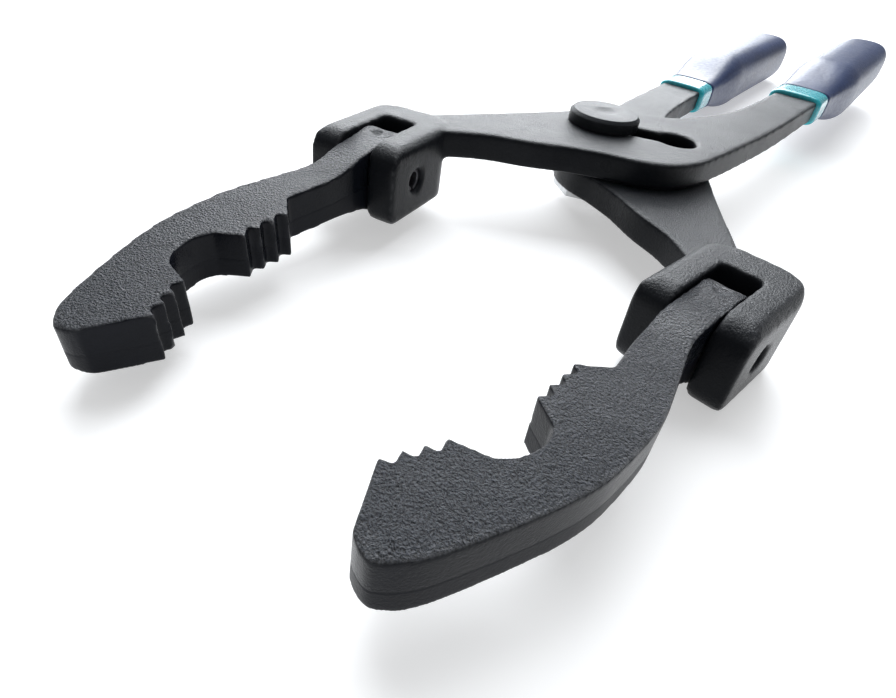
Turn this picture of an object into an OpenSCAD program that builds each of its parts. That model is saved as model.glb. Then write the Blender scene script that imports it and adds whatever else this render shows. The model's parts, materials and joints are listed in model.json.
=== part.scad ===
// Swivel-jaw oil filter wrench: slip-joint pliers whose toothed jaws tilt in a clevis at the end of each arm.
// The origin is on the filter's axis, on the plane that the wrench lies on. +Y runs towards the handles.

/* [Arms] */
// Thickness of each forged arm
arm_t = 6.4; // [5:0.1:8]
// Distance from the filter's axis to the slip joint, along the wrench
pivot_y = 99.5; // [95:0.5:110]
// Width of each steel handle
handle_w = 14; // [11:0.5:16]
// Distance from the slip joint to the front of the grips
bare_handle = 87.5; // [78:0.5:98]
// Length of each grip, its coloured band included
grip_len = 140; // [120:1:160]

/* [Slip joint] */
// Distance between the two positions of the slot
slip = 18.5; // [15:0.5:19]
// Angle of the slot, its free end towards the handles
slot_angle = 21; // [14:1:24]
// Diameter of the bolt's shank
shank_d = 10; // [8:0.5:11]
// Distance across the two flats of the shank
shank_flats = 6.6; // [5.5:0.1:7.5]
// Diameter of the bolt's head
head_d = 17.5; // [15:0.5:20]
// Thickness of the bolt's head
head_t = 3.2; // [2:0.1:4]

/* [Clevis] */
// Height of the clevis block
clevis_h = 17.8; // [15:0.1:20]
// Width of the slot that takes the jaw's tang
slot_w = 7.8; // [6.4:0.1:9]
// Thickness of each ear
ear_t = 6.6; // [5.8:0.1:8]
// Chamfer along the long edges of the clevis
clevis_chamfer = 1.7; // [1:0.1:2.6]
// Distance from the jaw pin to the front of the ears
ear_front = 10; // [8.8:0.1:12]
// Steel behind the slot
clevis_back = 8.6; // [7.5:0.1:11]
// Angle by which each clevis points outwards
clevis_splay = 8.4; // [6:0.1:11]
// How far the upper clevis stands above the lower one
clevis_rise = 3.4; // [2.5:0.1:4.5]

/* [Jaws] */
// Thickness of the jaw plate
jaw_t = 8.9; // [7:0.1:10]
// Distance between the two jaw pins at rest
pin_span = 77; // [72:0.2:86]
// Distance from the filter's axis back to the jaw pins
pin_y = 44; // [40:0.2:50]
// Diameter of the jaw pin
pin_d = 5.2; // [4:0.1:6]
// Radius of the round eye on the jaw's tang
eye_r = 8.2; // [7.4:0.1:8.4]
// Distance from the pin to the rear block of teeth
rear_block_y = 35.4; // [33:0.2:40]
// Length of the rear block of teeth
rear_block_len = 9.5; // [8:0.1:12]
// Length of the recess between the two blocks
recess_len = 14.6; // [12:0.2:17]
// Length of the front block of teeth, along the jaw
front_block_len = 8; // [7:0.1:10]
// Length of the nose in front of the teeth
nose_len = 8.9; // [7:0.1:11]
// Number of teeth in a block
teeth = 4; // [3:1:5]
// Depth of the teeth
tooth_depth = 1.7; // [1:0.1:2.2]
// Angle by which the left jaw hangs down at rest
left_droop = 4.2; // [-4:0.1:8]
// Angle by which the right jaw hangs down at rest
right_droop = -1; // [-4:0.1:8]

/* [Grips] */
// Width of a grip behind its band
grip_w = 23; // [20:0.5:23]
// Height of a grip behind its band
grip_h = 20; // [15:0.5:21]
// Wall of the band round the handle
grip_wall = 1.5; // [1.2:0.1:2]
// Length of the coloured band
band_len = 12; // [8:0.5:18]

/* [Hidden] */

run_gap = 0.05;          // radial clearance of a running fit
lap_gap = 0.1;           // gap between faces that slide on each other
tang_w = slot_w - 0.4;   // the tang has 0.2 mm on each side
clevis_w = slot_w + 2 * ear_t;
slot_back = eye_r + 0.4; // back wall of the slot, measured from the pin
clevis_end = slot_back + clevis_back;
pin_x = pin_span / 2;

// Levels. The lower clevis lies on z = 0.
lower_pin_z = clevis_h / 2;
upper_pin_z = lower_pin_z + clevis_rise;
upper_step = 0.6;        // the upper arm lies this far below its clevis's top
upper_top = upper_pin_z + clevis_h / 2 - upper_step;
upper_bottom = upper_top - arm_t;
lower_top = upper_bottom - lap_gap;
lower_bottom = lower_top - arm_t;

// Slip joint
slot_mid = [-1, pivot_y];
slot_dir = [cos(slot_angle), sin(slot_angle)];
bolt_at = slot_mid - slip / 2 * slot_dir;
lobe_d = shank_d + 2 * run_gap;
neck_w = shank_flats + 4 * run_gap;
washer_t = 1.2;
nut_t = 3.4;
nut_af = 15;             // across the flats

// Grips and handles
grip_y = pivot_y + bare_handle;
grip_end = grip_y + grip_len;
tang_end = grip_end - 14;
grip_gap = 0.05;         // the sleeve's bore round the handle
handle_z = [(upper_top + upper_bottom) / 2, (lower_top + lower_bottom) / 2];

// Detent
ball_r = 2;
detent_bore_r = ball_r + 0.1;
detent_depth = 6.6;
notch_depth = 0.8;
notch_step = 30;

// A smooth line through points: steps pieces between each two, with the ends kept.
function spline_at(a, b, c, d, t) = 0.5 * ((2 * b) + (c - a) * t + (2 * a - 5 * b + 4 * c - d) * t * t
    + (3 * b - a - 3 * c + d) * t * t * t);
function through(p, steps = 10) = concat([for (i = [0 : len(p) - 2], k = [0 : steps - 1])
    spline_at(p[max(i - 1, 0)], p[i], p[i + 1], p[min(i + 2, len(p) - 1)], k / steps)], [p[len(p) - 1]]);
function turned(p, a) = [p[0] * cos(a) - p[1] * sin(a), p[0] * sin(a) + p[1] * cos(a)];
function unit(v) = v / norm(v);
function left_of(v) = [-v[1], v[0]];
function reversed(p) = [for (i = [len(p) - 1 : -1 : 0]) p[i]];
// The outline of a band that follows a line, with its own half width at each point.
function direction_at(p, i) = unit(p[min(i + 1, len(p) - 1)] - p[max(i - 1, 0)]);
function side_of(p, half, s) = [for (i = [0 : len(p) - 1]) p[i] + s * half[i] * left_of(direction_at(p, i))];
function strip(p, half) = concat(side_of(p, half, 1), reversed(side_of(p, half, -1)));

// ---- Handles: the right-hand handle, in plan. The left one is its mirror image.
handle_front = [18.6, grip_y - 2];
handle_line = through([handle_front, [19, grip_y + 0.1 * grip_len], [20.4, grip_y + 0.3 * grip_len],
                       [20.9, grip_y + 0.6 * grip_len], [21, tang_end]], 5);
function handle_part(y0, y1, n) = [for (k = [0 : n]) [line_x(handle_line, y0 + (y1 - y0) * k / n),
                                                      y0 + (y1 - y0) * k / n]];
function line_x(p, y) = lookup(y, [for (q = p) [q[1], q[0]]]);

// The clevis's own frame: its pin at the origin, +Y out of its back. Side is 1 for right, -1 for left.
module at_clevis(side, z) {
    translate([side * pin_x, pin_y, z]) rotate([0, 0, -side * clevis_splay]) children();
}
// The bolt's own frame, with +X along the slot.
module at_bolt(z) {
    translate([bolt_at[0], bolt_at[1], z]) rotate([0, 0, slot_angle]) children();
}
function from_clevis(q) = [pin_x, pin_y] + turned(q, -clevis_splay);

// ---- Arms. The outline is the arm with the right-hand handle and the left-hand clevis.
arm_half_neck = 5.6;
clevis_root = clevis_end - 4;
function mirrored(q) = [-q[0], q[1]];
inner_root = mirrored(from_clevis([-clevis_w / 2 + 1.2, clevis_root - 3]));
outer_root = mirrored(from_clevis([0.5, clevis_root + 2]));
front_edge = through([inner_root, [-0.6 * pin_x, pivot_y - 36.5], [-0.36 * pin_x, pivot_y - 31.2],
                      [-6.5, pivot_y - 26], [0.5, pivot_y - 22.4], [8, pivot_y - 19.6],
                      [14, pivot_y - 15], [17.8, pivot_y - 7.5], [19.6, pivot_y + 3],
                      [21.4, pivot_y + 18], [23.8, pivot_y + 45], handle_front + [handle_w / 2, 0]]);
rear_edge = through([handle_front - [handle_w / 2, 0], [9.8, pivot_y + 54], [5.8, pivot_y + 36],
                     [0, pivot_y + 22], [-8, pivot_y + 16], [-15.5, pivot_y + 9.5], [-20.5, pivot_y],
                     [-26, pivot_y - 11.5], outer_root]);
handle_n = 14;
tip_r = handle_w / 2 - 1.5;
// Half the width of the steel inside the grip; its last step is drawn in a little under the round tip.
function tang_half(k) = between(handle_w / 2, tip_r, k / handle_n) - (k == handle_n ? 0.3 : 0);

module arm_plan() {
    polygon(concat(front_edge, rear_edge));
    polygon(strip(handle_part(grip_y - 3, tang_end - handle_w / 2, handle_n),
                  [for (k = [0 : handle_n]) tang_half(k)]));
}

module handle_tip(z) {
    end_y = tang_end - handle_w / 2;
    translate([line_x(handle_line, end_y), end_y, z]) cylinder(h = arm_t, r = tip_r, $fn = 48);
}

module clevis_block() {
    c = clevis_chamfer;
    w = clevis_w / 2;
    h = clevis_h / 2;
    r = 7.5;              // rounding of the back corners
    front_r = 5;          // rounding of the ears' front corners, seen from the side
    intersection() {
        translate([0, 0, -h]) linear_extrude(clevis_h)
            polygon(concat([[-w, -ear_front], [w, -ear_front]],
                           [for (a = [0 : 10 : 90]) [w - r + r * cos(a), clevis_end - r + r * sin(a)]],
                           [for (a = [90 : 10 : 180]) [r - w + r * cos(a), clevis_end - r + r * sin(a)]]));
        translate([0, clevis_end, 0]) rotate([90, 0, 0]) linear_extrude(ear_front + clevis_end)
            polygon([[-w, c - h], [c - w, -h], [w - c, -h], [w, c - h],
                     [w, h - c], [w - c, h], [c - w, h], [-w, h - c]]);
        rotate([90, 0, 90]) translate([0, 0, -w]) linear_extrude(clevis_w)
            polygon(concat([for (a = [180 : 15 : 270]) [front_r - ear_front + front_r * cos(a),
                                                        front_r - h + front_r * sin(a)]],
                           [[clevis_end, -h], [clevis_end, h]],
                           [for (a = [90 : 15 : 180]) [front_r - ear_front + front_r * cos(a),
                                                       h - front_r + front_r * sin(a)]]));
    }
}

module clevis_cuts() {
    translate([-slot_w / 2, -ear_front - 1, -clevis_h]) cube([slot_w, ear_front + 1 + slot_back, 2 * clevis_h]);
    rotate([0, 90, 0]) translate([0, 0, -clevis_w]) cylinder(h = 2 * clevis_w, d = pin_d, $fn = 48);
    translate([0, slot_back - 1, 0]) rotate([-90, 0, 0]) cylinder(h = detent_depth + 1, r = detent_bore_r, $fn = 32);
}

module upper_arm() {
    color([0.19, 0.2, 0.21]) difference() {
        union() {
            translate([0, 0, upper_bottom]) linear_extrude(arm_t) arm_plan();
            handle_tip(upper_bottom);
            at_clevis(-1, upper_pin_z) clevis_block();
        }
        at_clevis(-1, upper_pin_z) clevis_cuts();
        at_bolt(upper_bottom - 1) {
            cylinder(h = arm_t + 2, d = lobe_d, $fn = 64);
            translate([slip, 0, 0]) cylinder(h = arm_t + 2, d = lobe_d, $fn = 64);
            translate([0, -neck_w / 2, 0]) cube([slip, neck_w, arm_t + 2]);
        }
    }
}

module lower_arm() {
    color([0.17, 0.18, 0.19]) difference() {
        union() {
            translate([0, 0, lower_bottom]) linear_extrude(arm_t) mirror([1, 0]) arm_plan();
            mirror([1, 0, 0]) handle_tip(lower_bottom);
            at_clevis(1, lower_pin_z) clevis_block();
        }
        at_clevis(1, lower_pin_z) clevis_cuts();
        at_bolt(lower_bottom - 1) cylinder(h = arm_t + 2, d = lobe_d, $fn = 64);
    }
}

// ---- Jaws. Drawn for the right-hand side in the clevis's frame, +X away from the filter.
rear_block = [[-3.6, -rear_block_y - rear_block_len], [-4.8, -rear_block_y]];
front_block_y = rear_block_y + rear_block_len + recess_len;
front_block = [[-8, -front_block_y - front_block_len], [-5.3, -front_block_y]];
jaw_tip = front_block_y + front_block_len + nose_len;
// A row of teeth from a to b. Lean is where each gap's bottom lies, as a share of the pitch.
function tooth_row(a, b, lean) = [for (i = [0 : 2 * teeth - 2]) let (n = teeth - 1, k = floor(i / 2))
    i % 2 == 0 ? a + (b - a) * k / n
               : a + (b - a) * (k + lean) / n - tooth_depth * left_of(unit(b - a))];
jaw_back = 10.6;
outer_edge = through([[tang_w / 2, -14], [4.4, -18], [7.4, -27.3], [9.7, -rear_block_y],
                      [jaw_back, -rear_block_y - rear_block_len], [jaw_back - 0.2, -front_block_y + 8],
                      [8.8, -front_block_y], [5.2, -jaw_tip + 5], [2.2, -jaw_tip + 0.4], [0, -jaw_tip],
                      [-2.2, -jaw_tip + 0.8]], 9);
jaw_outline = concat([[-tang_w / 2, eye_r + 1], [-tang_w / 2, -14]],
    reversed(through([[-0.7, -rear_block_y + 4.7], [-2.6, -22], [-tang_w / 2, -14]], 8)),
    reversed(tooth_row(rear_block[0], rear_block[1], 0.62)),
    through([[1.2, -rear_block_y - rear_block_len - 2.6], [2.4, -rear_block_y - rear_block_len - 5.4],
             [1.9, -front_block_y + 4.6], [0.2, -front_block_y + 2.1]], 8),
    reversed(tooth_row(front_block[0], front_block[1], 0.38)),
    reversed(outer_edge), [[tang_w / 2, eye_r + 1]]);
plate_top = 5.8;         // top of the jaw plate above the pin
plate_bottom = plate_top - jaw_t;
// The jaw seen from its side: the round eye, then a curve down to the plate.
jaw_profile = concat([for (a = [-90 : 6 : 90]) [eye_r * cos(a), eye_r * sin(a)]],
    through([[-5, eye_r - 0.5], [-11, plate_top + 1.6], [-18, plate_top + 0.2], [-24, plate_top]], 8),
    [[-jaw_tip + 2, plate_top], [-jaw_tip - 1, plate_top - 0.6], [-jaw_tip - 1, plate_bottom + 0.6],
     [-jaw_tip + 2, plate_bottom]],
    through([[-24, plate_bottom], [-18, plate_bottom - 0.2], [-11, plate_bottom - 1.6], [-5, 0.5 - eye_r]], 8));

module jaw_solid() {
    difference() {
        intersection() {
            translate([0, 0, -clevis_h]) linear_extrude(2 * clevis_h) polygon(jaw_outline);
            rotate([90, 0, 90]) translate([0, 0, -20]) linear_extrude(40) polygon(jaw_profile);
        }
        rotate([0, 90, 0]) translate([0, 0, -clevis_w]) cylinder(h = 2 * clevis_w, r = pin_d / 2 + run_gap, $fn = 48);
        for (a = [-90 : notch_step : 90])
            rotate([a, 0, 0]) translate([0, eye_r + ball_r - notch_depth, 0]) sphere(r = ball_r, $fn = 24);
    }
}

module jaw_at(side, z, droop) {
    at_clevis(side, z) rotate([droop, 0, 0]) children();
}

module left_jaw() {
    color([0.14, 0.145, 0.155]) jaw_at(-1, upper_pin_z, left_droop) mirror([1, 0, 0]) jaw_solid();
}

module right_jaw() {
    color([0.14, 0.145, 0.155]) jaw_at(1, lower_pin_z, right_droop) jaw_solid();
}

// Slotted spring pin: a rolled tube, set 1 mm below each side of the clevis.
pin_wall = 0.9;
pin_slot = 0.8;
pin_recess = 1;
module jaw_pin() {
    len = clevis_w - 2 * pin_recess;
    rotate([0, 90, 0]) translate([0, 0, -len / 2]) difference() {
        cylinder(h = len, d = pin_d, $fn = 48);
        translate([0, 0, -1]) cylinder(h = len + 2, d = pin_d - 2 * pin_wall, $fn = 48);
        translate([0, -pin_slot / 2, -1]) cube([pin_d, pin_slot, len + 2]);
    }
}

module left_jaw_pin() { color([0.3, 0.3, 0.32]) at_clevis(-1, upper_pin_z) jaw_pin(); }
module right_jaw_pin() { color([0.3, 0.3, 0.32]) at_clevis(1, lower_pin_z) jaw_pin(); }

// ---- Slip joint. The bolt's flats lie along the slot, so it slides through the neck between the two holes.
thread_d = 8;
shank_bottom = lower_bottom - 0.1;
module pivot_bolt() {
    dimple_r = 9;
    dimple_depth = 0.5;
    head_z = upper_top + lap_gap;
    color([0.2, 0.21, 0.22]) at_bolt(0) difference() {
        union() {
            translate([0, 0, head_z]) cylinder(h = head_t - 0.8, d = head_d, $fn = 96);
            translate([0, 0, head_z + head_t - 0.8]) cylinder(h = 0.8, r1 = head_d / 2, r2 = head_d / 2 - 0.8, $fn = 96);
            intersection() {
                translate([0, 0, lower_top]) cylinder(h = head_z - lower_top, d = shank_d, $fn = 64);
                translate([-shank_d, -shank_flats / 2, lower_top])
                    cube([2 * shank_d, shank_flats, head_z - lower_top]);
            }
            translate([0, 0, shank_bottom]) cylinder(h = lower_top - shank_bottom, d = shank_d, $fn = 64);
            translate([0, 0, shank_bottom - washer_t - nut_t + 0.4])
                cylinder(h = washer_t + nut_t - 0.4, d = thread_d, $fn = 48);
        }
        translate([0, 0, head_z + head_t - dimple_depth + dimple_r]) sphere(r = dimple_r, $fn = 64);
    }
}

module pivot_washer() {
    color([0.62, 0.63, 0.65]) at_bolt(shank_bottom - washer_t) difference() {
        cylinder(h = washer_t, d = nut_af + 1.5, $fn = 64);
        translate([0, 0, -1]) cylinder(h = washer_t + 2, d = thread_d + 0.2, $fn = 48);
    }
}

module pivot_nut() {
    color([0.5, 0.51, 0.53]) at_bolt(shank_bottom - washer_t - nut_t) difference() {
        cylinder(h = nut_t, d = nut_af / cos(30), $fn = 6);
        translate([0, 0, -1]) cylinder(h = nut_t + 2, d = thread_d + 0.02, $fn = 48);
    }
}

// ---- Grips: a sleeve over the handle with a thin coloured collar in front, and wider and higher behind it.
grip_n = 24;
function swell(y) = (1 - cos(180 * min(max((y - grip_y - band_len) / (0.25 * grip_len), 0), 1))) / 2;
function between(a, b, t) = a + (b - a) * t;
function grip_half(y) = between(handle_w / 2 + grip_wall, grip_w / 2, swell(y));
function grip_rise(y) = between(arm_t / 2 + grip_wall, grip_h / 2, swell(y));
function grip_edge(y) = between(2.2, 4.5, swell(y));
grip_round_y = grip_end - grip_w / 2;
module grip_plan(share) {
    line = handle_part(grip_y - 2, grip_round_y, grip_n);
    half = [for (q = line) grip_half(q[1]) - share * grip_edge(q[1])];
    polygon(strip(line, [for (k = [0 : grip_n]) half[k] - (k == grip_n ? 0.4 : 0)]));
    translate([line_x(handle_line, grip_round_y), grip_round_y])
        circle(r = grip_w / 2 - share * grip_edge(grip_round_y), $fn = 64);
}

module grip_side(share) {
    upper = concat([for (k = [0 : grip_n]) let (y = between(grip_y - 2, grip_end - 4, k / grip_n))
                        [y, grip_rise(y) - share * grip_edge(y)]],
                   [[grip_end + 1, grip_h / 2 - 3 - share * grip_edge(grip_end)]]);
    polygon(concat(upper, [for (q = reversed(upper)) [q[0], -q[1]]]));
}

// The grip between two planes across the wrench, hollow for the handle. Its edges are rounded in three steps.
module grip_between(y0, y1, z) {
    difference() {
        intersection() {
            for (share = [[0, 1], [0.3, 0.3], [1, 0]])
                intersection() {
                    translate([0, 0, z - grip_h]) linear_extrude(2 * grip_h) grip_plan(share[0]);
                    translate([-60, 0, z]) rotate([90, 0, 90]) linear_extrude(120) grip_side(share[1]);
                }
            translate([0, y0, z - grip_h]) cube([60, y1 - y0, 2 * grip_h]);
        }
        handle_room(z);
    }
}

module handle_room(z) {
    line = handle_part(grip_y - 3, tang_end - handle_w / 2, handle_n);
    half = [for (k = [0 : handle_n]) tang_half(k) + grip_gap];
    translate([0, 0, z - arm_t / 2 - grip_gap]) linear_extrude(arm_t + 2 * grip_gap) polygon(strip(line, half));
    translate([line_x(handle_line, tang_end - handle_w / 2), tang_end - handle_w / 2, z - arm_t / 2 - grip_gap])
        cylinder(h = arm_t + 2 * grip_gap, r = tip_r + grip_gap, $fn = 48);
}

module grip(z) { grip_between(grip_y + band_len, grip_end + 1, z); }
module grip_band(z) { grip_between(grip_y, grip_y + band_len, z); }

module right_grip() { color([0.06, 0.11, 0.27]) grip(handle_z[0]); }
module left_grip() { color([0.06, 0.11, 0.27]) mirror([1, 0, 0]) grip(handle_z[1]); }
module right_grip_band() { color([0.1, 0.68, 0.74]) grip_band(handle_z[0]); }
module left_grip_band() { color([0.1, 0.68, 0.74]) mirror([1, 0, 0]) grip_band(handle_z[1]); }

// ---- Detent: a spring pushes a ball against the rim of the jaw's eye from the back wall of the slot.
ball_y = eye_r + run_gap + ball_r;
spring_wire = 0.5;
spring_r = ball_r - spring_wire / 2 - 0.15;
coils = 5;
spring_start = ball_y + ball_r + 0.02;
spring_len = slot_back + detent_depth - 0.02 - spring_start;
module detent_ball() { translate([0, ball_y, 0]) sphere(r = ball_r, $fn = 32); }
module detent_spring() {
    pitch = (spring_len - spring_wire) / (coils - 1);
    for (k = [0 : coils - 1])
        translate([0, spring_start + spring_wire / 2 + k * pitch, 0]) rotate([-90, 0, 0])
            rotate_extrude($fn = 32) translate([spring_r, 0]) circle(d = spring_wire, $fn = 16);
}

module left_detent_ball() { color([0.75, 0.76, 0.78]) at_clevis(-1, upper_pin_z) detent_ball(); }
module right_detent_ball() { color([0.75, 0.76, 0.78]) at_clevis(1, lower_pin_z) detent_ball(); }
module left_detent_spring() { color([0.6, 0.6, 0.62]) at_clevis(-1, upper_pin_z) detent_spring(); }
module right_detent_spring() { color([0.6, 0.6, 0.62]) at_clevis(1, lower_pin_z) detent_spring(); }

upper_arm();
lower_arm();
left_jaw();
right_jaw();
left_jaw_pin();
right_jaw_pin();
pivot_bolt();
pivot_washer();
pivot_nut();
left_grip();
right_grip();
left_grip_band();
right_grip_band();
left_detent_ball();
right_detent_ball();
left_detent_spring();
right_detent_spring();
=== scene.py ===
import bmesh
import bpy
import json
import math
import numpy as np
from mathutils import Matrix, Vector


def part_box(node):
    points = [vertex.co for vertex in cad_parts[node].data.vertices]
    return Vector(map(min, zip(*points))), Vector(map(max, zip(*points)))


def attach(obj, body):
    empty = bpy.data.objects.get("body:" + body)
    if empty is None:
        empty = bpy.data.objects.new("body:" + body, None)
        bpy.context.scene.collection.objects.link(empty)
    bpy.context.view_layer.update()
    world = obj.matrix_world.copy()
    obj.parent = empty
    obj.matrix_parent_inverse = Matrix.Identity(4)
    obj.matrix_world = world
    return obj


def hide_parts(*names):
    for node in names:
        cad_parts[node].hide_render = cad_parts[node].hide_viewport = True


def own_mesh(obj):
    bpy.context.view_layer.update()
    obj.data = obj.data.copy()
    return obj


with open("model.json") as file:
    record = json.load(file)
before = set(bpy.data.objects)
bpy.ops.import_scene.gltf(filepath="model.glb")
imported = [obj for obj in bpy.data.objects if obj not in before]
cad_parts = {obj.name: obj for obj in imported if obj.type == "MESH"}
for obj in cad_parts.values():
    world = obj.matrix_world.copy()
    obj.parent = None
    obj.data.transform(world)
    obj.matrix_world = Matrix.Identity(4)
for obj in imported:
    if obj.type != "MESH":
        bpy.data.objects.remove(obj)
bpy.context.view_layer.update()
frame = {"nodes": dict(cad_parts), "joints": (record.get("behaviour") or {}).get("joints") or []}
nodes = frame["nodes"]
MM = 0.001


# The two arms. Each is one drop-forged steel bar with a clevis block at its front end, drilled for the bolt
# and the jaw pin, then shot-blasted and dipped in a thin black coating. The blasting leaves a fine grain, the
# dies leave every edge a little round, and the rims show a trace of steel where the tool has been handled.
def step(tree, kind, inputs=None, **settings):
    """Adds one node to a material or group; an input is a value or another node's output."""
    made = tree.nodes.new(kind)
    for key, value in settings.items():
        setattr(made, key, value)
    for key, value in (inputs or {}).items():
        if isinstance(value, bpy.types.NodeSocket):
            tree.links.new(value, made.inputs[key])
        else:
            made.inputs[key].default_value = value
    return made


def ramp(tree, fac, *stops):
    """A colour ramp from (place, colour) stops."""
    made = step(tree, "ShaderNodeValToRGB", {"Fac": fac})
    while len(made.color_ramp.elements) < len(stops):
        made.color_ramp.elements.new(0.5)
    for element, (place, colour) in zip(made.color_ramp.elements, stops):
        element.position = place
        element.color = (*colour, 1)
    return made.outputs["Color"]


def remap(tree, value, low, high, to_low=0.0, to_high=1.0):
    """Stretches a value from one range to another, kept inside it."""
    return step(tree, "ShaderNodeMapRange", {"Value": value, "From Min": low, "From Max": high,
                                             "To Min": to_low, "To Max": to_high}).outputs["Result"]


def times(tree, a, b, operation="MULTIPLY"):
    return step(tree, "ShaderNodeMath", {0: a, 1: b}, operation=operation).outputs[0]


def shader_group(name, inputs, outputs):
    """An empty shared shader group with its sockets, and its two end nodes."""
    tree = bpy.data.node_groups.new(name, "ShaderNodeTree")
    for label, kind, value in inputs:
        socket = tree.interface.new_socket(label, in_out="INPUT", socket_type=kind)
        if value is not None:
            socket.default_value = value
    for label, kind in outputs:
        tree.interface.new_socket(label, in_out="OUTPUT", socket_type=kind)
    return tree, tree.nodes.new("NodeGroupInput"), tree.nodes.new("NodeGroupOutput")


# Blasted and dipped skin: pebbly grain, hammered swell, pinholes and scattered nicks. Grain is the number of
# grains to a metre, Depth the depth of the relief in metres.
blasted_skin, skin_in, skin_out = shader_group(
    "Blasted skin",
    [("Vector", "NodeSocketVector", None), ("Grain", "NodeSocketFloat", 1500.0),
     ("Depth", "NodeSocketFloat", 0.0001), ("Nicks", "NodeSocketFloat", 1.0)],
    [("Normal", "NodeSocketVector"), ("Pits", "NodeSocketFloat"), ("Patches", "NodeSocketFloat")])
warp = step(blasted_skin, "ShaderNodeTexNoise", {"Vector": skin_in.outputs["Vector"], "Scale": 700.0,
                                                "Detail": 2.0})
bent = step(blasted_skin, "ShaderNodeVectorMath", {0: warp.outputs["Color"], "Scale": 0.0007},
            operation="SCALE").outputs[0]
place = step(blasted_skin, "ShaderNodeVectorMath", {0: skin_in.outputs["Vector"], 1: bent}).outputs[0]
pebbles = step(blasted_skin, "ShaderNodeTexVoronoi",
               {"Vector": place, "Scale": skin_in.outputs["Grain"], "Smoothness": 0.6},
               feature="SMOOTH_F1").outputs["Distance"]
fine = step(blasted_skin, "ShaderNodeTexNoise",
            {"Vector": place, "Scale": times(blasted_skin, skin_in.outputs["Grain"], 1.7), "Detail": 4.0,
             "Roughness": 0.62}).outputs["Fac"]
swell = step(blasted_skin, "ShaderNodeTexNoise", {"Vector": skin_in.outputs["Vector"], "Scale": 210.0,
                                                 "Detail": 2.0}).outputs["Fac"]
patches = step(blasted_skin, "ShaderNodeTexNoise", {"Vector": skin_in.outputs["Vector"], "Scale": 55.0,
                                                   "Detail": 3.0, "Roughness": 0.6}).outputs["Fac"]
spots = step(blasted_skin, "ShaderNodeTexVoronoi", {"Vector": place, "Scale": 130.0}).outputs["Distance"]
nick = times(blasted_skin, remap(blasted_skin, spots, 0.05, 0.13, 1.0, 0.0), skin_in.outputs["Nicks"])
relief = times(blasted_skin, times(blasted_skin, pebbles, 0.7), times(blasted_skin, fine, 1.2), "ADD")
relief = times(blasted_skin, relief, times(blasted_skin, swell, 1.3), "ADD")
relief = times(blasted_skin, relief, times(blasted_skin, nick, 0.5), "SUBTRACT")
skin_bump = step(blasted_skin, "ShaderNodeBump", {"Height": relief, "Strength": 1.0,
                                                 "Distance": skin_in.outputs["Depth"]})
blasted_skin.links.new(skin_bump.outputs["Normal"], skin_out.inputs["Normal"])
blasted_skin.links.new(remap(blasted_skin, fine, 0.38, 0.6, 1.0, 0.0), skin_out.inputs["Pits"])
blasted_skin.links.new(patches, skin_out.inputs["Patches"])


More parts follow.
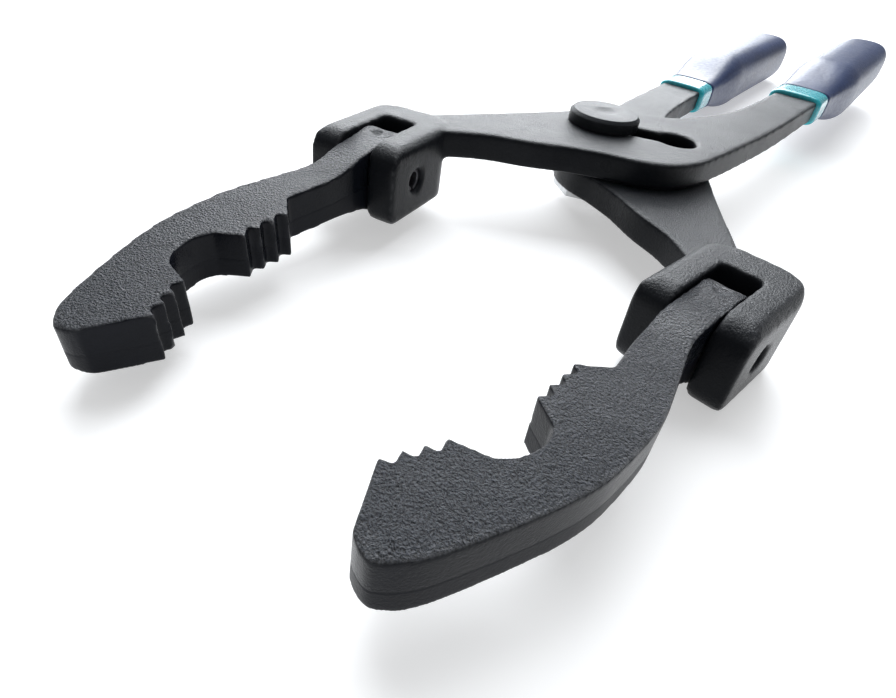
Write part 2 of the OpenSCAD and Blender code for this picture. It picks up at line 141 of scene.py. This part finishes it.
def black_coating(name, grain, depth, side_depth, dark, light, rough, side_rough, rub=0.5,
                  grain_glint=(0.03, 0.033, 0.04), worn_at=None, parting=None, sheen=0.28):
    """Black dipped coating over blasted steel: grainy on the flat faces, smoother on the trimmed sides.

    Rub is how far the rims are worn to steel, and sheen how strongly the flat faces shine. The colour given
    for the grain's tops is a painted highlight, laid only on the flat faces. Worn_at is a place and a radius,
    parting a place and a direction.
    """
    made = bpy.data.materials.new(name)
    made.use_nodes = True
    tree = made.node_tree
    shader = tree.nodes["Principled BSDF"]
    where = step(tree, "ShaderNodeTexCoord")
    up = step(tree, "ShaderNodeSeparateXYZ", {"Vector": where.outputs["Normal"]}).outputs["Z"]
    flat = remap(tree, times(tree, up, 0.0, "ABSOLUTE"), 0.45, 0.9)
    skin = step(tree, "ShaderNodeGroup", node_tree=blasted_skin)
    tree.links.new(where.outputs["Object"], skin.inputs["Vector"])
    skin.inputs["Grain"].default_value = grain
    skin.inputs["Nicks"].default_value = 0.5
    tree.links.new(remap(tree, flat, 0.0, 1.0, side_depth, depth), skin.inputs["Depth"])
    tone = ramp(tree, skin.outputs["Patches"], (0.3, dark), (0.7, light))
    # Painted highlight: on the flat faces the tops of the grain are painted a lighter, bluer colour, standing
    # in for glints.
    tone = step(tree, "ShaderNodeMix", {0: times(tree, times(tree, 1.0, skin.outputs["Pits"], "SUBTRACT"),
                                                 times(tree, flat, 0.8)), 6: tone, 7: (*grain_glint, 1)},
                data_type="RGBA").outputs[2]
    rim = step(tree, "ShaderNodeAttribute", attribute_name="rim").outputs["Fac"]
    scuff = step(tree, "ShaderNodeTexNoise", {"Vector": where.outputs["Object"], "Scale": 420.0,
                                             "Detail": 5.0, "Roughness": 0.7}).outputs["Fac"]
    wear = times(tree, remap(tree, rim, 0.3, 0.95), remap(tree, scuff, 0.42, 0.62, 0.0, rub))
    if worn_at is not None:
        worn_place, worn_radius = worn_at
        away = step(tree, "ShaderNodeVectorMath", {0: where.outputs["Object"], 1: worn_place},
                    operation="DISTANCE").outputs["Value"]
        patch = times(tree, remap(tree, away, worn_radius * 0.3, worn_radius, 1.0, 0.0), 0.45, "ADD")
        patch = remap(tree, times(tree, patch, scuff), 0.5, 0.85, 0.0, 0.6)
        wear = times(tree, wear, patch, "MAXIMUM")
    bare_steel = (0.3, 0.3, 0.31, 1)
    tone = step(tree, "ShaderNodeMix", {0: wear, 6: tone, 7: bare_steel}, data_type="RGBA").outputs[2]
    tree.links.new(tone, shader.inputs["Base Color"])
    gloss = times(tree, remap(tree, flat, 0.0, 1.0, side_rough, rough),
                  remap(tree, skin.outputs["Patches"], 0.3, 0.7, -0.05, 0.06), "ADD")
    facing = skin.outputs["Normal"]
    if parting is not None:
        # Where the two dies met: a fine step along the sides, with the lower half duller than the upper.
        parting_place, parting_up = parting
        above = step(tree, "ShaderNodeVectorMath", {0: where.outputs["Object"], 1: parting_place},
                     operation="SUBTRACT").outputs[0]
        height = step(tree, "ShaderNodeVectorMath", {0: above, 1: parting_up},
                      operation="DOT_PRODUCT").outputs["Value"]
        height = times(tree, height, times(tree, scuff, 0.0006), "ADD")
        side_face = times(tree, 1.0, flat, "SUBTRACT")
        lower = times(tree, remap(tree, height, 0.0002, 0.0006, 1.0, 0.0), side_face)
        facing = step(tree, "ShaderNodeBump", {"Height": lower, "Distance": 0.00006,
                                               "Normal": facing}).outputs["Normal"]
        gloss = times(tree, gloss, times(tree, lower, 0.16), "ADD")
    tree.links.new(times(tree, gloss, times(tree, wear, 0.12), "SUBTRACT"), shader.inputs["Roughness"])
    tree.links.new(times(tree, wear, 0.8), shader.inputs["Metallic"])
    tree.links.new(facing, shader.inputs["Normal"])
    shader.inputs["IOR"].default_value = 1.5
    tree.links.new(remap(tree, flat, 0.0, 1.0, 0.1, sheen), shader.inputs["Specular IOR Level"])
    return made


def plain_mesh(piece):
    """Turns a piece with modifiers into a plain mesh."""
    made = bpy.data.meshes.new_from_object(piece.evaluated_get(bpy.context.evaluated_depsgraph_get()))
    piece.modifiers.clear()
    piece.data = made
    return piece


def copy_of(node, name):
    """A copy of a CAD solid with its triangles joined into one closed shell, its faces outward."""
    piece = bpy.data.objects.new(name, nodes[node].data.copy())
    bpy.context.collection.objects.link(piece)
    shell = bmesh.new()
    shell.from_mesh(piece.data)
    bmesh.ops.remove_doubles(shell, verts=shell.verts, dist=0.002 * MM)
    bmesh.ops.recalc_face_normals(shell, faces=shell.faces)
    shell.to_mesh(piece.data)
    shell.free()
    piece.data.materials.clear()
    return piece


def forging(node, name, grid, softness, finish):
    """Rebuilds a solid on an even grid and eases it, as a die leaves it; rims get their own attribute."""
    piece = copy_of(node, name)
    even = piece.modifiers.new("even grid", "REMESH")
    even.mode = "VOXEL"
    even.voxel_size = grid
    ease = piece.modifiers.new("die radius", "SMOOTH")
    ease.factor = 0.5
    ease.iterations = softness
    plain_mesh(piece)
    mesh = piece.data
    count = len(mesh.vertices)
    co = np.empty(count * 3)
    no = np.empty(count * 3)
    mesh.vertices.foreach_get("co", co)
    mesh.vertex_normals.foreach_get("vector", no)
    co, no = co.reshape(-1, 3), no.reshape(-1, 3)
    ends = np.empty(len(mesh.edges) * 2, np.int32)
    mesh.edges.foreach_get("vertices", ends)
    ends = ends.reshape(-1, 2)
    degree = np.bincount(ends.ravel(), minlength=count).clip(1)

    def around(values):
        total = np.zeros_like(values)
        np.add.at(total, ends[:, 0], values[ends[:, 1]])
        np.add.at(total, ends[:, 1], values[ends[:, 0]])
        return total / (degree[:, None] if values.ndim > 1 else degree)

    rim = ((co - around(co)) * no).sum(1) / grid
    for _ in range(3):
        rim = 0.5 * rim + 0.5 * around(rim)
    rim = np.clip((rim - 0.03) / 0.1, 0, 1)
    mesh.attributes.new("rim", "FLOAT", "POINT").data.foreach_set("value", rim.astype(np.float32))
    mesh.shade_smooth()
    mesh.materials.append(finish)
    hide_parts(node)
    return piece


arm_coating = black_coating("arm black coating", 2400.0, 0.00016, 0.00006, (0.004, 0.005, 0.0065),
                            (0.009, 0.01, 0.0125), 0.36, 0.3, rub=0.3)
for side in ("upper", "lower"):
    arm = forging(f"{side}_arm", f"{side}_arm_forging", 0.52 * MM, 14, arm_coating)
    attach(arm, f"{side}_arm_body")


# The two jaws. Each is a thick forged plate with two short rows of teeth round the can and a slim tang with a
# round eye, which swings in the arm's clevis. Same blasted and dipped skin, coarser on the broad faces.
for side, body in (("left", "left_jaw_body"), ("right", "right_jaw_body")):
    low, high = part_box(f"{side}_jaw")
    swivel = [j for j in frame["joints"] if j["name"] == f"{side}_jaw_swivel"][0]
    eye_top = Vector((swivel["pos_m"][0], high.y - 6 * MM, high.z))
    across = Vector(swivel["axis"]).normalized()
    droop = math.radians(4.2 if side == "left" else -1)
    worn_radius = (5.5 if side == "right" else 3) * MM
    plate_up = Matrix.Rotation(droop, 3, across) @ Vector((0, 0, 1))
    plate_middle = Vector(swivel["pos_m"]) + plate_up * 0.4 * MM
    # The light bluish grey given here for the grain's tops is painted highlight on the jaws' flat faces.
    jaw_coating = black_coating(f"{side} jaw black coating", 2300.0, 0.001, 0.00003, (0.003, 0.004, 0.006),
                                (0.007, 0.008, 0.012), 0.36, 0.22, rub=0.35, grain_glint=(0.085, 0.094, 0.115),
                                parting=(plate_middle, plate_up),
                                worn_at=(eye_top, worn_radius), sheen=0.52)
    jaw = forging(f"{side}_jaw", f"{side}_jaw_forging", 0.34 * MM, 9, jaw_coating)
    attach(jaw, body)


# The jaw pins. Rolled spring steel with a slot along one side, driven into the ears and left a little below
# their outer faces; oiled, dark, with drawing marks along the length.
drawn_metal, drawn_in, drawn_out = shader_group(
    "Drawn metal", [("Vector", "NodeSocketVector", None), ("Depth", "NodeSocketFloat", 0.00002)],
    [("Normal", "NodeSocketVector"), ("Marks", "NodeSocketFloat"), ("Stain", "NodeSocketFloat")])
stretched = step(drawn_metal, "ShaderNodeVectorMath",
                 {0: drawn_in.outputs["Vector"], 1: (300.0, 2600.0, 2600.0)},
                 operation="MULTIPLY").outputs[0]
marks = step(drawn_metal, "ShaderNodeTexNoise", {"Vector": stretched, "Scale": 1.0,
                                                "Detail": 4.0}).outputs["Fac"]
stain = step(drawn_metal, "ShaderNodeTexNoise", {"Vector": drawn_in.outputs["Vector"], "Scale": 260.0,
                                                "Detail": 4.0}).outputs["Fac"]
drawn_bump = step(drawn_metal, "ShaderNodeBump", {"Height": marks, "Distance": drawn_in.outputs["Depth"]})
drawn_metal.links.new(drawn_bump.outputs["Normal"], drawn_out.inputs["Normal"])
drawn_metal.links.new(marks, drawn_out.inputs["Marks"])
drawn_metal.links.new(stain, drawn_out.inputs["Stain"])


def bare_metal(name, dark, light, rough, depth=0.00002):
    """Steel with drawing or turning marks and a faint stain."""
    made = bpy.data.materials.new(name)
    made.use_nodes = True
    tree = made.node_tree
    shader = tree.nodes["Principled BSDF"]
    where = step(tree, "ShaderNodeTexCoord")
    drawn = step(tree, "ShaderNodeGroup", node_tree=drawn_metal)
    drawn.inputs["Depth"].default_value = depth
    tree.links.new(where.outputs["Object"], drawn.inputs["Vector"])
    tree.links.new(ramp(tree, drawn.outputs["Stain"], (0.35, dark), (0.62, light)),
                   shader.inputs["Base Color"])
    tree.links.new(remap(tree, drawn.outputs["Marks"], 0.3, 0.7, rough - 0.07, rough + 0.09),
                   shader.inputs["Roughness"])
    tree.links.new(drawn.outputs["Normal"], shader.inputs["Normal"])
    shader.inputs["Metallic"].default_value = 1.0
    return made


def turned(node, name, edge, finish, body):
    """A machined piece: the solid's flat faces joined up and its edges broken."""
    piece = copy_of(node, name)
    shell = bmesh.new()
    shell.from_mesh(piece.data)
    bmesh.ops.dissolve_limit(shell, angle_limit=math.radians(1.5), verts=shell.verts, edges=shell.edges)
    shell.to_mesh(piece.data)
    shell.free()
    broken = piece.modifiers.new("broken edges", "BEVEL")
    broken.width = edge
    broken.segments = 3
    broken.limit_method = "ANGLE"
    broken.angle_limit = math.radians(32)
    plain_mesh(piece)
    piece.data.shade_smooth()
    piece.data.set_sharp_from_angle(angle=math.radians(40))
    piece.data.materials.append(finish)
    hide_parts(node)
    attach(piece, body)
    return piece


oiled_steel = bare_metal("oiled spring steel", (0.05, 0.05, 0.055), (0.12, 0.12, 0.13), 0.42)
turned("left_jaw_pin", "left_roll_pin", 0.15 * MM, oiled_steel, "upper_arm_body")
turned("right_jaw_pin", "right_roll_pin", 0.15 * MM, oiled_steel, "lower_arm_body")


# The pivot bolt. A flat round head with a shallow forged dimple, and a shank with two flats that can pass the
# neck of the slot. Black oxide with its rim rubbed toward steel; the grey on the head's flat top is painted
# highlight on the grain's tops.
bolt_coating = black_coating("bolt black oxide", 2400.0, 0.00008, 0.00004, (0.01, 0.011, 0.013),
                             (0.02, 0.021, 0.024), 0.4, 0.3, rub=0.5, sheen=0.17)
turned("pivot_bolt", "slip_bolt", 0.35 * MM, bolt_coating, "bolt_body")


# The washer and the nut underneath. Zinc-plated steel; the nut is run up until the joint is snug.
zinc_plate = bare_metal("zinc plate", (0.42, 0.43, 0.44), (0.6, 0.61, 0.62), 0.34)
turned("pivot_washer", "snug_washer", 0.2 * MM, zinc_plate, "bolt_body")
turned("pivot_nut", "hex_nut", 0.5 * MM, zinc_plate, "bolt_body")


# The detents. A bearing ball in a bore behind each jaw's eye, and a coil spring that presses it to the eye,
# where it finds the dimples. The springs are wound wire, one coil each, from its length, wire and turns.
bearing_steel = bare_metal("bearing steel", (0.6, 0.61, 0.63), (0.72, 0.73, 0.75), 0.16, depth=0.000004)
for side in ("left", "right"):
    ball = nodes[f"{side}_detent_ball"]
    ball.data.materials.clear()
    ball.data.materials.append(bearing_steel)

coil_tree = bpy.data.node_groups.new("wound spring", "GeometryNodeTree")
coil_tree.interface.new_socket("Geometry", in_out="OUTPUT", socket_type="NodeSocketGeometry")
coil_sockets = (("Length", "NodeSocketFloat"), ("Coil radius", "NodeSocketFloat"),
                ("Wire radius", "NodeSocketFloat"), ("Turns", "NodeSocketFloat"),
                ("Start", "NodeSocketVector"), ("Turn", "NodeSocketRotation"), ("Wire", "NodeSocketMaterial"))
coil_inputs = {label: coil_tree.interface.new_socket(label, in_out="INPUT", socket_type=kind)
               for label, kind in coil_sockets}
coil_in = coil_tree.nodes.new("NodeGroupInput")
coil_out = coil_tree.nodes.new("NodeGroupOutput")
spiral = step(coil_tree, "GeometryNodeCurveSpiral", {
    "Resolution": 28, "Rotations": coil_in.outputs["Turns"], "Start Radius": coil_in.outputs["Coil radius"],
    "End Radius": coil_in.outputs["Coil radius"], "Height": coil_in.outputs["Length"]})
wire = step(coil_tree, "GeometryNodeCurvePrimitiveCircle",
            {"Resolution": 12, "Radius": coil_in.outputs["Wire radius"]})
wound = step(coil_tree, "GeometryNodeCurveToMesh", {"Curve": spiral.outputs["Curve"],
                                                   "Profile Curve": wire.outputs["Curve"], "Fill Caps": True})
placed = step(coil_tree, "GeometryNodeTransform", {"Geometry": wound.outputs["Mesh"],
                                                  "Translation": coil_in.outputs["Start"],
                                                  "Rotation": coil_in.outputs["Turn"]})
real = step(coil_tree, "GeometryNodeRealizeInstances", {"Geometry": placed.outputs["Geometry"]})
dressed = step(coil_tree, "GeometryNodeSetMaterial", {"Geometry": real.outputs["Geometry"],
                                                     "Material": coil_in.outputs["Wire"]})
coil_tree.links.new(dressed.outputs["Geometry"], coil_out.inputs["Geometry"])

spring_wire = bare_metal("spring wire", (0.4, 0.41, 0.42), (0.5, 0.51, 0.52), 0.3)
seat = 2.02 * MM  # from the ball's middle to where the coil begins
end_room = 0.1 * MM
for joint in frame["joints"]:
    if not joint["name"].endswith("_detent"):
        continue
    side = joint["name"].split("_")[0]
    along = Vector(joint["axis"]).normalized()
    low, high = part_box(f"{side}_detent_ball")
    ball_at = (low + high) / 2
    low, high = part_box(f"{side}_detent_spring")
    reach = ((low + high) / 2 - ball_at).dot(along)
    length = 2 * (reach - seat) - end_room
    coil = bpy.data.objects.new(f"{side}_detent_coil", bpy.data.meshes.new(f"{side}_detent_coil"))
    bpy.context.collection.objects.link(coil)
    winding = coil.modifiers.new("wound spring", "NODES")
    winding.node_group = coil_tree
    for label, value in (("Length", length - 0.5 * MM), ("Coil radius", 1.6 * MM), ("Wire radius", 0.24 * MM),
                         ("Turns", 5.0), ("Start", ball_at + along * (seat + 0.3 * MM)),
                         ("Turn", along.to_track_quat("Z", "X").to_euler()), ("Wire", spring_wire)):
        winding[coil_inputs[label].identifier] = value
    plain_mesh(coil)
    coil.data.shade_smooth()
    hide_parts(f"{side}_detent_spring")
    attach(coil, "upper_arm_body" if side == "left" else "lower_arm_body")
    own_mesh(coil)


# The grips. Dipped vinyl sleeves over the handles: first a thin turquoise coat, then a navy one that leaves
# the turquoise showing as a collar in front. Behind the collar the sleeve swells and bows with the handle.
def vinyl(name, dark, light, rough, depth, coat):
    """Dipped vinyl: a soft orange peel, faint runs along the handle, and a satin skin."""
    made = bpy.data.materials.new(name)
    made.use_nodes = True
    tree = made.node_tree
    shader = tree.nodes["Principled BSDF"]
    where = step(tree, "ShaderNodeTexCoord").outputs["Object"]
    long_way = step(tree, "ShaderNodeVectorMath", {0: where, 1: (1.0, 0.3, 1.0)},
                    operation="MULTIPLY").outputs[0]
    runs = step(tree, "ShaderNodeTexNoise", {"Vector": long_way, "Scale": 160.0,
                                            "Detail": 2.0}).outputs["Fac"]
    peel = step(tree, "ShaderNodeTexNoise", {"Vector": where, "Scale": 900.0, "Detail": 3.0}).outputs["Fac"]
    height = times(tree, peel, times(tree, runs, 3.0), "ADD")
    bump = step(tree, "ShaderNodeBump", {"Height": height, "Distance": depth})
    tree.links.new(ramp(tree, runs, (0.3, dark), (0.7, light)), shader.inputs["Base Color"])
    tree.links.new(remap(tree, peel, 0.3, 0.7, rough - 0.05, rough + 0.07), shader.inputs["Roughness"])
    tree.links.new(bump.outputs["Normal"], shader.inputs["Normal"])
    shader.inputs["Coat Weight"].default_value = coat
    shader.inputs["Coat Roughness"].default_value = 0.18
    return made


def sleeve_line(y):
    """How far the handle's centre line lies from the middle of the wrench, all in millimetres."""
    line = ((185, 18.6), (201, 19), (229, 20.4), (271, 20.9), (313, 21), (332, 21))
    places = [p[0] for p in line]
    k = max(i for i in range(len(line) - 1) if places[i] <= max(y, 185))
    a, b = line[k], line[k + 1]
    before, after = line[max(k - 1, 0)], line[min(k + 2, len(line) - 1)]
    run = b[0] - a[0]
    t = (y - a[0]) / run
    slope_a = (b[1] - before[1]) / max(b[0] - before[0], 1) * run
    slope_b = (after[1] - a[1]) / max(after[0] - a[0], 1) * run
    return ((2 * t**3 - 3 * t**2 + 1) * a[1] + (t**3 - 2 * t**2 + t) * slope_a
            + (3 * t**2 - 2 * t**3) * b[1] + (t**3 - t**2) * slope_b)


def dipped(node, name, places, finish, body):
    """A closed sleeve lofted along the handle from (y, how far the skin is drawn in) places."""
    mirror = -1 if node.startswith("left") else 1
    low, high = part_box(node)
    middle = (low.z + high.z) / 2
    around_count = 40
    shell = bmesh.new()
    rings = []
    for y, inset in places:
        t = min(max((y - 199) / 35, 0), 1)
        t = (1 - math.cos(math.pi * t)) / 2
        half_w = 8.5 + 2.65 * t - inset
        half_h = 4.7 + 5.3 * t - inset
        square = 2.0 / (4.2 - 1.3 * t)
        x0 = sleeve_line(y)
        lean = sleeve_line(y + 1) - x0
        ring = []
        for k in range(around_count):
            a = 2 * math.pi * k / around_count
            c, s = math.cos(a), math.sin(a)
            x = math.copysign(abs(c) ** square, c) * half_w
            z = math.copysign(abs(s) ** square, s) * half_h
            skewed = y - x * lean if 203 < y < 316 else y
            ring.append(shell.verts.new((mirror * (x0 + x) * MM, skewed * MM, middle + z * MM)))
        rings.append(ring)
    for a, b in zip(rings, rings[1:]):
        for k in range(around_count):
            shell.faces.new((a[k], a[(k + 1) % around_count], b[(k + 1) % around_count], b[k]))
    shell.faces.new(rings[0])
    shell.faces.new(rings[-1])
    bmesh.ops.recalc_face_normals(shell, faces=shell.faces)
    mesh = bpy.data.meshes.new(name)
    shell.to_mesh(mesh)
    shell.free()
    piece = bpy.data.objects.new(name, mesh)
    bpy.context.collection.objects.link(piece)
    finer = piece.modifiers.new("smooth skin", "SUBSURF")
    finer.levels = finer.render_levels = 2
    plain_mesh(piece)
    piece.data.shade_smooth()
    piece.data.materials.append(finish)
    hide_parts(node)
    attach(piece, body)
    return piece


collar_vinyl = vinyl("turquoise dipped vinyl", (0.0, 0.3, 0.36), (0.005, 0.38, 0.44), 0.26, 0.00003, 0.6)
navy_vinyl = vinyl("navy dipped vinyl", (0.008, 0.021, 0.075), (0.013, 0.032, 0.105), 0.38, 0.00006, 0.0)
collar_places = [(187.0, 1.3), (187.1, 0.5), (187.6, 0.1), (188.4, 0.0), (191, 0), (194, 0), (197, 0),
                 (198.9, 0.02), (199.0, 0.5)]
grip_places = ([(199.0, 0.6), (199.05, 0.0), (199.6, -0.2), (200.5, -0.2)]
               + [(y, -0.15) for y in range(203, 234, 3)] + [(y, 0.0) for y in range(237, 315, 6)]
               + [(317, 0.3), (320, 1.2), (322.8, 2.7), (325, 4.7), (326.3, 6.6), (326.9, 8.6)])
for side, body in (("left", "lower_arm_body"), ("right", "upper_arm_body")):
    dipped(f"{side}_grip_band", f"{side}_collar_sleeve", collar_places, collar_vinyl, body)
    dipped(f"{side}_grip", f"{side}_grip_sleeve", grip_places, navy_vinyl, body)


# The surroundings: a plain white sheet under soft overhead light, with the sky of a white room all round.
sheet_finish = bpy.data.materials.new("white sheet")
sheet_finish.use_nodes = True
sheet_tree = sheet_finish.node_tree
sheet_shader = sheet_tree.nodes["Principled BSDF"]
sheet_where = step(sheet_tree, "ShaderNodeTexCoord").outputs["Object"]
mottle = step(sheet_tree, "ShaderNodeTexNoise", {"Vector": sheet_where, "Scale": 3.0}).outputs["Fac"]
sheet_tree.links.new(ramp(sheet_tree, mottle, (0.3, (0.7, 0.7, 0.705)), (0.7, (0.72, 0.72, 0.72))),
                     sheet_shader.inputs["Base Color"])
sheet_shader.inputs["Roughness"].default_value = 0.9
sheet_shader.inputs["Specular IOR Level"].default_value = 0.1
sheet_shader.inputs["Emission Color"].default_value = (1, 1, 1, 1)
sheet_shader.inputs["Emission Strength"].default_value = 0.46
sheet_mesh = bpy.data.meshes.new("floor")
sheet_half, sheet_z = 9, -0.00005
sheet_corners = ((-1, -1), (1, -1), (1, 1), (-1, 1))
sheet_mesh.from_pydata([(x * sheet_half, y * sheet_half, sheet_z) for x, y in sheet_corners], [],
                       [(0, 1, 2, 3)])
sheet_mesh.materials.append(sheet_finish)
floor = bpy.data.objects.new("floor", sheet_mesh)
bpy.context.collection.objects.link(floor)

room = bpy.data.worlds.new("white room")
room.use_nodes = True
room.node_tree.nodes["Background"].inputs["Color"].default_value = (0.96, 0.98, 1.0, 1)
seen = step(room.node_tree, "ShaderNodeLightPath").outputs["Is Camera Ray"]
room.node_tree.links.new(remap(room.node_tree, seen, 0.0, 1.0, 0.28, 0.95),
                         room.node_tree.nodes["Background"].inputs["Strength"])
bpy.context.scene.world = room


def soft_light(name, place, aim, size, power, colour, height=None):
    lamp = bpy.data.lights.new(name, "AREA")
    lamp.shape = "RECTANGLE"
    lamp.size = size
    lamp.size_y = height or size
    lamp.energy = power
    lamp.color = colour
    made = bpy.data.objects.new(name, lamp)
    made.location = place
    made.rotation_euler = (Vector(aim) - Vector(place)).to_track_quat("-Z", "Y").to_euler()
    bpy.context.collection.objects.link(made)


soft_light("overhead softbox", (-0.42, 0.6, 0.95), (0, 0.03, 0), 1.1, 21, (0.94, 0.97, 1.0))
soft_light("window behind", (-0.85, 1.25, 0.62), (0, 0.08, 0), 1.5, 28, (0.94, 0.97, 1.0), 0.75)

# The camera looks down and along the wrench from in front of the right-hand jaw.
eye = bpy.data.cameras.new("camera")
eye.lens = 24.7
eye.sensor_width = 36
eye.shift_x = 0.008
eye.clip_start = 0.005
camera = bpy.data.objects.new("camera", eye)
yaw, pitch, roll = math.radians(-32.1), math.radians(37.9), math.radians(8.7)
ahead = Vector((math.cos(pitch) * math.sin(yaw), math.cos(pitch) * math.cos(yaw), -math.sin(pitch)))
right = Vector((math.cos(yaw), -math.sin(yaw), 0))
up = right.cross(ahead)
right, up = math.cos(roll) * right + math.sin(roll) * up, math.cos(roll) * up - math.sin(roll) * right
camera_place = Matrix.Translation((0.0491, -0.0573, 0.0669))
camera.matrix_world = camera_place @ Matrix((right, up, -ahead)).transposed().to_4x4()
bpy.context.collection.objects.link(camera)
bpy.context.scene.camera = camera
bpy.context.scene.view_settings.view_transform = "Standard"
